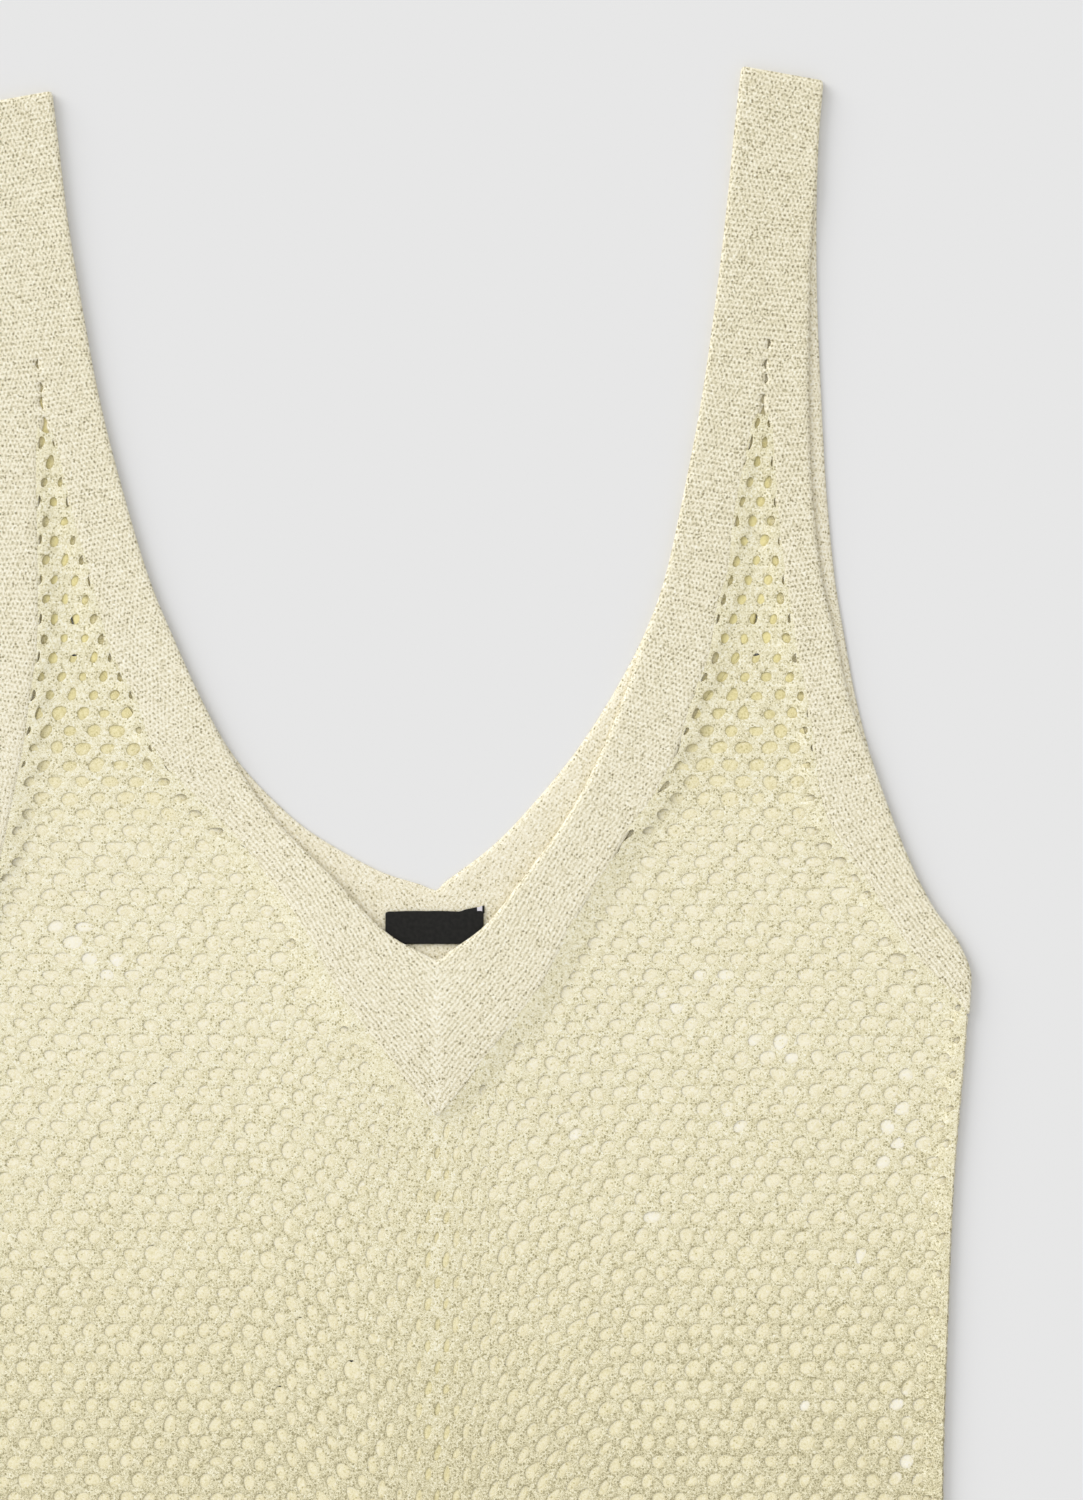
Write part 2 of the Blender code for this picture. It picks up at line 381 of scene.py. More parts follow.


# across and drop of the eyelets that show almost white: painted light, the back's yarn drawn near white where
# light from the table would show through both panels
paintedLightSpots = [
    (-141.4, 320.6), (-135.8, 330.0), (-128.3, 335.6), (-122.6, 341.3), (-132.0, 322.5), (-118.9, 337.5),
    (52.5, 403.9), (109.5, 414.0), (90.8, 427.5), (99.8, 427.5), (77.6, 433.1), (103.9, 407.3),
    (111.8, 395.6), (117.4, 367.5), (136.1, 371.3), (176.6, 376.1), (175.5, 389.6), (171.0, 396.8),
    (175.1, 402.8), (168.4, 408.8), (108.0, 342.0), (98.6, 341.3), (87.4, 353.3), (77.6, 365.6),
    (126.8, 367.5), (89.3, 440.6), (157.5, 449.6), (190.5, 354.4), (139.1, 502.5), (175.5, 502.0),
    (176.0, 514.0), (175.0, 527.0),
]

# Eyelets: the share of its cell that one takes across (Wide) and down (Tall)
eyelets = {
    "strapWide": 0.42, "strapTall": 0.50,
    "bodyWide": 0.63, "bodyTall": 0.68,
    "centreWide": 0.34, "centreTall": 0.62,
    "back": 0.4,                    # the back's are smaller than the front's
    "bodyBegins": (222.0, 262.0),   # drops between which the strap's eyelets become the body's
    "centreEnds": (8.0, 34.0),
    "seamLeast": 0.55, "seamMore": 0.45, "seamFades": (3.0, 12.0),
    "bandLess": 0.4, "neckFades": (-4.0, 9.0), "neckAbove": 6.0, "armFades": (1.0, 10.0),
    "faint": 0.3, "faintDrop": 388.0, "faintReach": 38.0,
    "faintLeft": (52.0, 30.0), "faintRight": (8.0, -6.0),
    "stray": 0.07, "uneven": 0.12, "slant": 0.12, "strayDown": 0.03,
    # painted shade on the front's eyelet walls, more on their upper left sides, which face away from the
    # light
    "wallShade": 0.01, "leanShade": 0.05, "leanReach": 7.0,
}
hexagon = [(0, -2), (-1, -1), (-1, 1), (0, 2), (1, 1), (1, -1)]     # half wales and thirds of a row


def makeNet(name, panel, points, rowSpan, profile, levels, rng):
    # hexagonal cells, each pushed in to its eyelet by the steps of the profile (size, depth)
    front = panel == "front"
    mesh = bmesh.new()
    knit = mesh.verts.layers.float_vector.new("knit")
    corners = {}
    cells = []
    for row in range(*rowSpan):
        for halfWale in range(-net["halfWales"] + row % 2, net["halfWales"] + 1, 2):
            keys = [(halfWale + right, 3 * row + down) for right, down in hexagon]
            if any(key not in points or points[key][4] > net["mostMoved"] for key in keys):
                continue
            ring = np.array([points[key][:2] for key in keys])
            xs, drops = ring[:, 0], ring[:, 1]
            area = abs(np.dot(xs, np.roll(drops, -1)) - np.dot(drops, np.roll(xs, -1))) / 2
            if area < net["leastArea"]:
                continue
            side = 1 if xs.mean() > 0 else -1
            middleDrop = drops.mean()
            inStrap = middleDrop < net["bodyDrop"]
            if inStrap and np.diff(netEdges(panel, side, middleDrop))[0] < net["leastNet"]:
                continue
            for key in keys:
                if key not in corners:
                    x, drop, wale, step, moved = points[key]
                    height = topFace(panel, x, drop) - thinner(panel, x, drop)
                    height += rng.normal(0.0, net["strayUp"]) if moved < net["stillMoved"] and front else 0.0
                    # painted shade from shade(), and on the front a painted highlight at the corners
                    dark = shade(panel, x, drop) - (net["cornerHighlight"] if front else 0.0)
                    corners[key] = mesh.verts.new(place(x, drop, height))
                    corners[key][knit] = (wale * net["stitchesAcross"], step * net["stitchesDown"], dark)
            cell = mesh.faces.new([corners[key] for key in keys])
            vEdge = float(netEdges(panel, side, middleDrop - net["vAbove"])[0])
            nearV = vEdge > 0.0 and abs(xs.mean()) - vEdge < net["besideV"]
            besideV = middleDrop > net["underV"] and nearV
            smallest = net["strapHole"] if drops[0] < net["bodyDrop"] else net["bodyHole"]
            if area > smallest and np.ptp(xs) > net["leastAcross"] and not besideV:
                cells.append(cell)
    mesh.normal_update()
    for step, (size, depth) in enumerate(profile):
        cells = bmesh.ops.extrude_discrete_faces(mesh, faces=cells)["faces"]
        for cell in cells:
            middle = cell.calc_center_median()
            across = down = size
            slant = 0.0
            if step == 0:
                wide, tall = eyelet(panel, middle.x / mm, dress["length"] / 2 - middle.y / mm)
                jitter = rng.normal(1.0, eyelets["stray"], 2)
                across, down = wide * jitter[0] * size, tall * jitter[1] * size
                slant = eyelets["slant"]
            knitMiddle = sum((v[knit] for v in cell.verts), Vector()) / len(cell.verts)
            for v in cell.verts:
                uneven = rng.normal(1.0, eyelets["uneven"])
                lean = (middle.x - v.co.x + v.co.y - middle.y) / eyelets["leanReach"] / mm
                v.co.x = middle.x + (v.co.x - middle.x) * across * uneven + (v.co.y - middle.y) * slant
                v.co.y = middle.y + (v.co.y - middle.y) * down * uneven
                v.co.z -= (depth + rng.normal(0.0, eyelets["strayDown"])) * mm
                v[knit] = knitMiddle + (v[knit] - knitMiddle) * across
                # painted shade on the wall, darker on the upper left side of the eyelet
                if front:
                    dark = eyelets["wallShade"] + eyelets["leanShade"] * max(lean, 0.0)
                    v[knit] += Vector((0.0, 0.0, dark))
    bmesh.ops.delete(mesh, geom=cells, context="FACES")
    return addPiece(name, mesh, levels)


def eyelet(panel, x, drop):
    # how much of its cell an eyelet takes, across and down
    body = float(smoothStep(*eyelets["bodyBegins"], drop))
    centre = 1.0 - float(smoothStep(*eyelets["centreEnds"], abs(x)))
    wide = eyelets["strapWide"] + (eyelets["bodyWide"] - eyelets["strapWide"]) * body
    tall = eyelets["strapTall"] + (eyelets["bodyTall"] - eyelets["strapTall"]) * body
    wide += (eyelets["centreWide"] - wide) * centre
    tall += (eyelets["centreTall"] - tall) * centre
    if drop > dress["underarm"]:
        toSeam = float(curve(sides, 1, drop)) - abs(x)
        rim = eyelets["seamLeast"] + eyelets["seamMore"] * float(smoothStep(*eyelets["seamFades"], toSeam))
        wide, tall = wide * rim, tall * rim
    # smaller beside the bands, along the V and round the armhole
    side = 1 if x >= 0 else -1
    above = float(netEdges(panel, side, drop - eyelets["neckAbove"])[0])
    nearNeck = nearArm = 0.0
    if above > 0.0:
        nearNeck = 1.0 - float(smoothStep(*eyelets["neckFades"], abs(x) - above))
    if drop < net["armFoot"]:
        toArm = float(netEdges(panel, side, drop)[1]) - abs(x)
        nearArm = 1.0 - float(smoothStep(*eyelets["armFades"], toArm))
    rim = 1.0 - eyelets["bandLess"] * body * max(nearNeck, nearArm)
    wide, tall = wide * rim, tall * rim
    # a patch left of the centre, under the V, where they are small
    patch = float(smoothStep(*eyelets["faintLeft"], -x) * smoothStep(*eyelets["faintRight"], x))
    reach = (drop - eyelets["faintDrop"]) / eyelets["faintReach"]
    faint = eyelets["faint"] * patch * math.exp(-reach ** 2)
    wide, tall = wide * (1.0 - faint), tall * (1.0 - faint)
    if panel == "back":
        wide, tall = wide * eyelets["back"], tall * eyelets["back"]
    return wide, tall


# How a knit lies on a table: heights in millimetres, and the drops or distances between which each fades in
lie = {
    "wave": 0.12, "waveWide": (41.0, 57.0), "waveLong": (63.0, 47.0), "waveTurn": 1.3,
    "backRise": 0.2,                # the back comes up against the front's net,
    "edgeRise": 0.85,               # also near its edges, where that lies higher
    "edgeFades": (1.2, 8.0),
    "netFades": (1.0, 4.5),
    "netMore": 2.0,
    "fold": 0.6,                    # the skirt's long shallow folds
    "foldFades": (430.0, 760.0), "foldWide": 21.0, "foldBend": 0.9, "foldLong": 130.0, "foldTurn": 0.4,
    "thinner": 1.35,                # the net's single yarns are thinner than the dense bands,
    "thinnerBody": 0.15,            # in the body more than in the straps
    "thinnerFades": (215.0, 275.0),
    "sunkDeep": 0.14,
    "proud": 0.04,
}


def swell(panel, x, drop):
    # the soft unevenness of the cloth
    (wideA, wideB), (longA, longB) = lie["waveWide"], lie["waveLong"]
    waves = lie["wave"] * math.sin(x / wideA + drop / longA)
    waves = waves * math.sin(x / wideB - drop / longB + lie["waveTurn"])
    if panel == "back":
        inside = insideNet("front", x, drop)
        near = lie["edgeRise"] * (1.0 - float(smoothStep(*lie["edgeFades"], inside)))
        return (lie["backRise"] + waves + near + float(riseOverLabel(x, drop))) * behindNet(x, drop)
    bend = lie["foldBend"] * math.sin(drop / lie["foldLong"])
    ridge = 0.5 + 0.5 * math.sin(x / lie["foldWide"] + bend + lie["foldTurn"])
    return waves + lie["fold"] * float(smoothStep(*lie["foldFades"], drop)) * ridge ** 2


def behindNet(x, drop):
    # 1 where the front's net lies over the back, 0 past its edges
    inner, outer = netEdges("front", 1 if x >= 0 else -1, drop)
    inside = min(abs(x) - float(inner), float(outer) - abs(x))
    return float(smoothStep(*lie["netFades"], inside + lie["netMore"]))


def insideNet(panel, x, drop):
    # how far inside the net's edges a point is
    inner, outer = netEdges(panel, 1 if x >= 0 else -1, drop)
    return min(abs(x) - float(inner) if inner > 0.0 else 99.0, float(outer) - abs(x))


def topFace(panel, x, drop):
    return float(underside(panel, x, drop)) + dress["wall"] + swell(panel, x, drop)


def thinner(panel, x, drop):
    # how much lower the net's top lies than that of the dense bands
    if panel == "back":
        return 0.0
    away = insideNet(panel, x, drop)
    if away < 0.0:
        return lie["sunkDeep"] * float(smoothStep(0.0, net["over"], -away)) - lie["proud"]
    deep = lie["thinner"] + lie["thinnerBody"] * float(smoothStep(*lie["thinnerFades"], drop))
    return deep * float(smoothStep(*lie["edgeFades"], away)) - lie["proud"]


# How much darker the yarn is drawn, most of it painted shade and painted light
shades = {
    "down": 0.15, "downFades": (330.0, 580.0),      # painted shade: the front darker from the V to the waist, where the light falls off,
    "strap": 0.04, "strapFades": (300.0, 60.0),     # and also darker up its straps
    "mitre": 0.08, "mitreWide": 1.5,                # the front's centre line is paler under the V
    "mitreFrom": (328.0, 342.0), "mitreTo": (560.0, 480.0),
    # painted shade: a little darker towards the right, away from the light
    "across": 0.0001,
    # painted light: near white yarn on the back under the listed eyelets
    "paintedLightSpot": -0.07, "spotReach": 3.6,
    "underStrap": 0.1, "underFades": (215.0, 300.0),    # painted shade: yellower and darker where the front's strap lies over the back and shades it
    # painted shade: the back darker towards the waist, where the light falls off
    "backDown": 0.02, "backFades": (360.0, 540.0),
    # painted shade: darker wells along the centre line, seen through the front's eyelets
    "backMiddle": 0.05, "middleWide": 7.0, "middleFades": (380.0, 420.0),
}


def shade(panel, x, drop):
    if panel == "front":
        # the front: painted shade, darker towards the waist and to the right; also darker up the straps, and
        # paler along the centre line under the V
        underV = float(smoothStep(*shades["mitreFrom"], drop) * smoothStep(*shades["mitreTo"], drop))
        mitre = shades["mitre"] * math.exp(-(x / shades["mitreWide"]) ** 2) * underV
        down = shades["down"] * float(smoothStep(*shades["downFades"], drop))
        down = down + shades["strap"] * float(smoothStep(*shades["strapFades"], drop))
        return down + shades["across"] * x - mitre
    # painted light under the listed eyelets
    for spotAcross, spotDrop in paintedLightSpots:
        if math.hypot(x - spotAcross, drop - spotDrop) < shades["spotReach"]:
            return shades["paintedLightSpot"]
    # painted shade in the wells along the centre line
    middle = shades["backMiddle"] * math.exp(-(x / shades["middleWide"]) ** 2)
    middle = middle * float(smoothStep(*shades["middleFades"], drop))
    # painted shade on the back: under the front's strap and towards the waist
    dark = shades["underStrap"] * (1.0 - float(smoothStep(*shades["underFades"], drop)))
    dark = dark + shades["backDown"] * float(smoothStep(*shades["backFades"], drop))
    return behindNet(x, drop) * dark + middle


def addPiece(name, mesh, levels, thickness=0.0):
    data = bpy.data.meshes.new(name)
    mesh.to_mesh(data)
    mesh.free()
    data.shade_smooth()
    piece = bpy.data.objects.new(name, data)
    scene.collection.objects.link(piece)
    if thickness:
        wall = piece.modifiers.new("wall", "SOLIDIFY")
        wall.thickness = thickness * mm
        wall.offset = -1.0
    if levels:
        smooth = piece.modifiers.new("smooth", "SUBSURF")
        smooth.levels = smooth.render_levels = levels
    return piece


# The dense bands along neck, arms and side seams
bands = {
    "strapWide": 31.0,
    "stitchWide": 1.6,
    "stitchTall": 1.9,
    "wall": dress["wall"] - 0.15,
    "joint": 0.5,                   # the stitches reach over the net's edge this far,
    "jointOpens": (4.6, 6.4),       # and shut the net where it is narrower than this
    "neckColumns": 7,
    "armColumns": 5,
    "slitHalf": 0.95,               # half height of a slit,
    "slitTurn": 0.75,               # how far it lies to its side,
    "slitOpen": 0.42,               # and how far each band draws back from it
    "armFoot": 356.0,
    "frontFoot": 394.0,
    "backFoot": 391.0,
    "seamWide": 2.6,
    "seamFall": 0.3,
    "scallop": 0.6,                 # how deep the side seam's loops are, and their uneven run
    "scallopRun": 0.89, "scallopStray": 1.7, "scallopLong": 23.0,
    "shoulderRidge": 0.28, "ridgeDrop": 2.2, "ridgeHalf": 1.2,
    "seamRows": 2.4,                # how far apart the rows of the side edge lie
}

# short slits where the strap's stitches part above the net: drop, and towards the arm (1) or the neck (-1)
slitsRight = [(104.3, 1), (112.1, -1), (117.8, 1), (125.3, -1)]
slitsLeft = [(112.3, 1), (120.7, -1), (126.6, 1), (133.8, -1)]


def referenceLine(side, edgeOf, top, foot):
    # a band's edge on the net's side, evened out and carried on straight past its ends, and the length along
    apart, softness, beyond = 3.0, 5.0, 30.0
    drops = np.arange(top, foot + apart, apart)
    x = edgeOf(drops)
    reach = 12
    weights = np.exp(-(np.arange(-reach, reach + 1) / softness) ** 2)
    before = x[0] + (x[0] - x[1]) * np.arange(reach, 0, -1)
    after = x[-1] + (x[-1] - x[-2]) * np.arange(1, reach + 1)
    x = np.convolve(np.concatenate([before, x, after]), weights / weights.sum(), mode="valid")
    line = np.stack([side * x, drops], axis=1)
    ends = [line[0] + (line[0] - line[1]) * beyond, line[-1] + (line[-1] - line[-2]) * beyond]
    line = np.concatenate([[ends[0]], line, [ends[1]]])
    length = np.concatenate([[0.0], np.cumsum(np.hypot(*np.diff(line, axis=0).T))])
    return line, length


def alongLine(line, length, x, drop):
    # signed distance from a line and length along it, for one point
    start, step = line[:-1], np.diff(line, axis=0)
    away = np.array([x, drop]) - start
    share = np.clip((away * step).sum(1) / np.maximum((step * step).sum(1), 1e-9), 0.0, 1.0)
    foot = away - step * share[:, None]
    k = int(np.argmin((foot * foot).sum(1)))
    cross = step[k, 0] * away[k, 1] - step[k, 1] * away[k, 0]
    distance = math.copysign(math.hypot(*foot[k]), cross)
    return distance, length[k] + share[k] * math.hypot(*step[k])


def bandStrip(mesh, panel, side, innerOf, outerOf, drops, columns, line, length, fall=0.0):
    # a grid of dense stitches between two edges, its courses square to the line
    knit = mesh.verts.layers.float_vector["knit"]
    top = 0.0 if side > 0 else dress["leftStrapDrop"]
    rows = []
    for drop in drops:
        inner, outer = float(innerOf(drop)), float(outerOf(drop))
        slant = dress["strapSlant"] * (1.0 - float(smoothStep(0.0, dress["slantReach"], drop - top)))
        toRidge = (drop - top - bands["ridgeDrop"]) / bands["ridgeHalf"]
        ridge = bands["shoulderRidge"] * math.exp(-toRidge ** 2)
        row = []
        for j in range(columns + 1):
            x = side * (inner + (outer - inner) * j / columns)
            across = (abs(x) - float(neckEdge(panel, side, drop))) / bands["strapWide"]
            height = topFace(panel, x, drop) + ridge - (fall if j == columns else 0.0)
            v = mesh.verts.new(place(x, drop + slant * across, height))
            distance, far = alongLine(line, length, x, drop)
            stitches = side * distance / bands["stitchWide"], far / bands["stitchTall"]
            v[knit] = (*stitches, shade(panel, x, drop))
            row.append(v)
        rows.append(row)
    for upper, lower in zip(rows, rows[1:]):
        for j in range(columns):
            corners = [upper[j], lower[j], lower[j + 1], upper[j + 1]]
            mesh.faces.new(corners if side > 0 else corners[::-1])


def makeBands(name, panel, foot):
    mesh = bmesh.new()
    mesh.verts.layers.float_vector.new("knit")
    for side in (1, -1):
        top = 0.0 if side > 0 else dress["leftStrapDrop"]
        slits = slitsRight if side > 0 else slitsLeft
        phase = 0.0 if panel == "front" else 2.0

        def lap(drop, towards):
            # how far the dense stitches reach over the net's edge, on the neck's side (1) or the arm's (-1)
            inner, outer = netEdges(panel, side, drop)
            wide = outer - inner
            opened = smoothStep(*bands["jointOpens"], wide)
            reach = np.maximum(wide, 0.0) / 2 * (1.0 - opened) + bands["joint"] * opened
            for slitDrop, turn in slits if panel == "front" else []:
                part = np.exp(-((drop - slitDrop) / bands["slitHalf"]) ** 2)
                reach = reach + (bands["slitTurn"] * turn * towards - bands["slitOpen"]) * part
            return reach

        def neck(drop):
            return neckEdge(panel, side, drop)

        def netNeck(drop):
            return netEdges(panel, side, drop)[0] + lap(drop, 1)

        def netArm(drop):
            return netEdges(panel, side, drop)[1] - lap(drop, -1)

        def arm(drop):
            return outerEdge(panel, side, drop)

        def seamInner(drop):
            return arm(drop) - bands["seamWide"]

        def selvedge(drop):
            stray = bands["scallopStray"] * math.sin(drop / bands["scallopLong"])
            bumps = 0.5 + 0.5 * math.sin(drop * bands["scallopRun"] + stray + phase)
            return arm(drop) - bands["scallop"] * bumps

        # first drop, last drop and number of rows: they lie closer where the slits are
        spans = [(top, 97.0, 28), (98.1, 137.1, 37), (140.0, 200.0, 19)]
        strapDrops = np.concatenate([np.linspace(*span) for span in spans])
        neckDrops = np.concatenate([strapDrops, np.linspace(203.0, foot, 64)])
        line, length = referenceLine(side, netNeck, top, foot)
        bandStrip(mesh, panel, side, neck, netNeck, neckDrops, bands["neckColumns"], line, length)
        armDrops = np.concatenate([strapDrops, np.linspace(203.0, bands["armFoot"], 50)])
        line, length = referenceLine(side, netArm, top, bands["armFoot"])
        bandStrip(mesh, panel, side, netArm, arm, armDrops, bands["armColumns"], line, length)
        edgeDrops = np.arange(bands["armFoot"], dress["length"] - hem["height"] + 1.0, bands["seamRows"])
        line, length = referenceLine(side, arm, bands["armFoot"], dress["length"])
        bandStrip(mesh, panel, side, seamInner, selvedge, edgeDrops, 1, line, length, fall=bands["seamFall"])
    bmesh.ops.remove_doubles(mesh, verts=mesh.verts[:], dist=0.00002)
    return addPiece(name, mesh, 1, thickness=bands["wall"])


def makeHem(name, panel):
    # a dense border along the foot, which stands a little proud of the net
    mesh = bmesh.new()
    knit = mesh.verts.layers.float_vector.new("knit")
    bmesh.ops.create_grid(mesh, x_segments=hem["columns"], y_segments=hem["rows"], size=0.5)
    for v in mesh.verts:
        drop = dress["length"] - (hem["height"] + hem["overNet"]) * (0.5 + v.co.y)
        x = v.co.x * 2.0 * float(curve(sides, 1, drop))
        v.co = place(x, drop, topFace(panel, x, drop) + hem["proud"])
        v[knit] = (x / bands["stitchWide"], drop / bands["stitchTall"], shade(panel, x, drop))
    return addPiece(name, mesh, 1, thickness=bands["wall"])


# Materials
plus, minus, times = ({"operation": way} for way in ("ADD", "SUBTRACT", "MULTIPLY"))


def linear(colour):
    parts = [int(colour[k:k + 2], 16) / 255 for k in (1, 3, 5)]
    return [c / 12.92 if c <= 0.04045 else ((c + 0.055) / 1.055) ** 2.4 for c in parts] + [1.0]


def addNode(tree, kind, settings, inputs):
    # a node with its settings or colour stops. Inputs go in order or by number or name, and each is linked to
    # a node's first output or to a socket, or set to a value.
    node = tree.nodes.new("ShaderNode" + kind)
    for key, value in settings.items():
        if key != "stops":
            setattr(node, key, value)
    stops = settings.get("stops", [])
    while stops and len(node.color_ramp.elements) < len(stops):
        node.color_ramp.elements.new(0.5)
    for k, (position, colour) in enumerate(stops):
        node.color_ramp.elements[k].position = position
        node.color_ramp.elements[k].color = linear(colour)
    for key, value in inputs.items() if isinstance(inputs, dict) else enumerate(inputs):
        if isinstance(value, bpy.types.Node):
            value = value.outputs[0]
        if isinstance(value, bpy.types.NodeSocket):
            tree.links.new(value, node.inputs[key])
        else:
            node.inputs[key].default_value = value
    return node


def newMaterial(name, finish):
    material = bpy.data.materials.new(name)
    material.use_nodes = True
    shader = material.node_tree.nodes["Principled BSDF"]
    for key, value in finish.items():
        shader.inputs[key].default_value = value
    return material, material.node_tree, shader


# Viscose with a fine metallic thread. The scales are noise cells to a metre: the stitches wander over 3 mm,
# the yarn curls every 1.2 mm, and there is a pit or a glint every 1 mm. The real ones are too fine to show in
# the picture, and are drawn as coarse as they need to show.
yarn = {
    "wander": 330.0, "curl": 850.0, "tone": 800.0, "dots": 1050.0,
    "threadWide": 0.1, "glints": 0.84, "dotCore": 0.22, "dotEdge": 0.5,
    # painted highlight: how much lighter a glint is drawn, besides being metallic
    "paintedGlint": 0.2, "glintMetal": 0.6, "pitRelief": 0.5, "threadRelief": 0.45, "reliefDeep": 0.0004,
    "linesFrom": 0.43, "linesTo": 0.36, "linesHide": 0.55,      # up the object's Y, in metres
    # painted shade: how far the knit attribute's third part turns the colour olive yellow, and how much
    # darker it makes it
    "shadeTint": 0.0, "shadeTintColour": "#f7eaa5", "darker": 1.0, "wales": 0.0,
    "finish": {"Roughness": 0.62, "Sheen Weight": 0.15, "Sheen Roughness": 0.5, "Specular IOR Level": 0.3},
}
netLook = dict(
    yarn, threadShare=0.42, toneShare=0.75, pits=0.26, pitDepth=0.42, stitch=0.1, relief=0.3, bump=0.2,
    colours=[(0.05, "#a39a76"), (0.27, "#dad1a7"), (0.47, "#f3ebcb"), (0.66, "#faf7e1"), (1.0, "#fcfcf6")])
bandLook = dict(
    yarn, threadShare=0.32, toneShare=0.5, pits=0.22, pitDepth=0.37, stitch=0.22, relief=0.5, bump=0.26,
    wales=0.1,
    colours=[(0.05, "#8b8163"), (0.3, "#d6cdaa"), (0.5, "#f5edd4"), (0.72, "#fffcea"), (1.0, "#fffffb")])
backBandLook = dict(
    yarn, threadShare=0.32, toneShare=0.5, pits=0.22, pitDepth=0.35, stitch=0.18, relief=0.5, bump=0.26,
    wales=0.06, shadeTint=8.5, darker=2.0,
    colours=[(0.05, "#948a68"), (0.3, "#ddd3b0"), (0.5, "#f7efd7"), (0.72, "#fffceb"), (1.0, "#fffffb")])
innerLook = dict(
    yarn, threadShare=0.28, toneShare=0.5, pits=0.15, pitDepth=0.3, stitch=0.08, relief=0.3, bump=0.18,
    tone=700.0, shadeTint=6.0, darker=3.0,
    colours=[(0.05, "#b3a87c"), (0.3, "#e7ddb4"), (0.5, "#f8f1d5"), (0.75, "#faf6e7"), (1.0, "#fffaf4")])


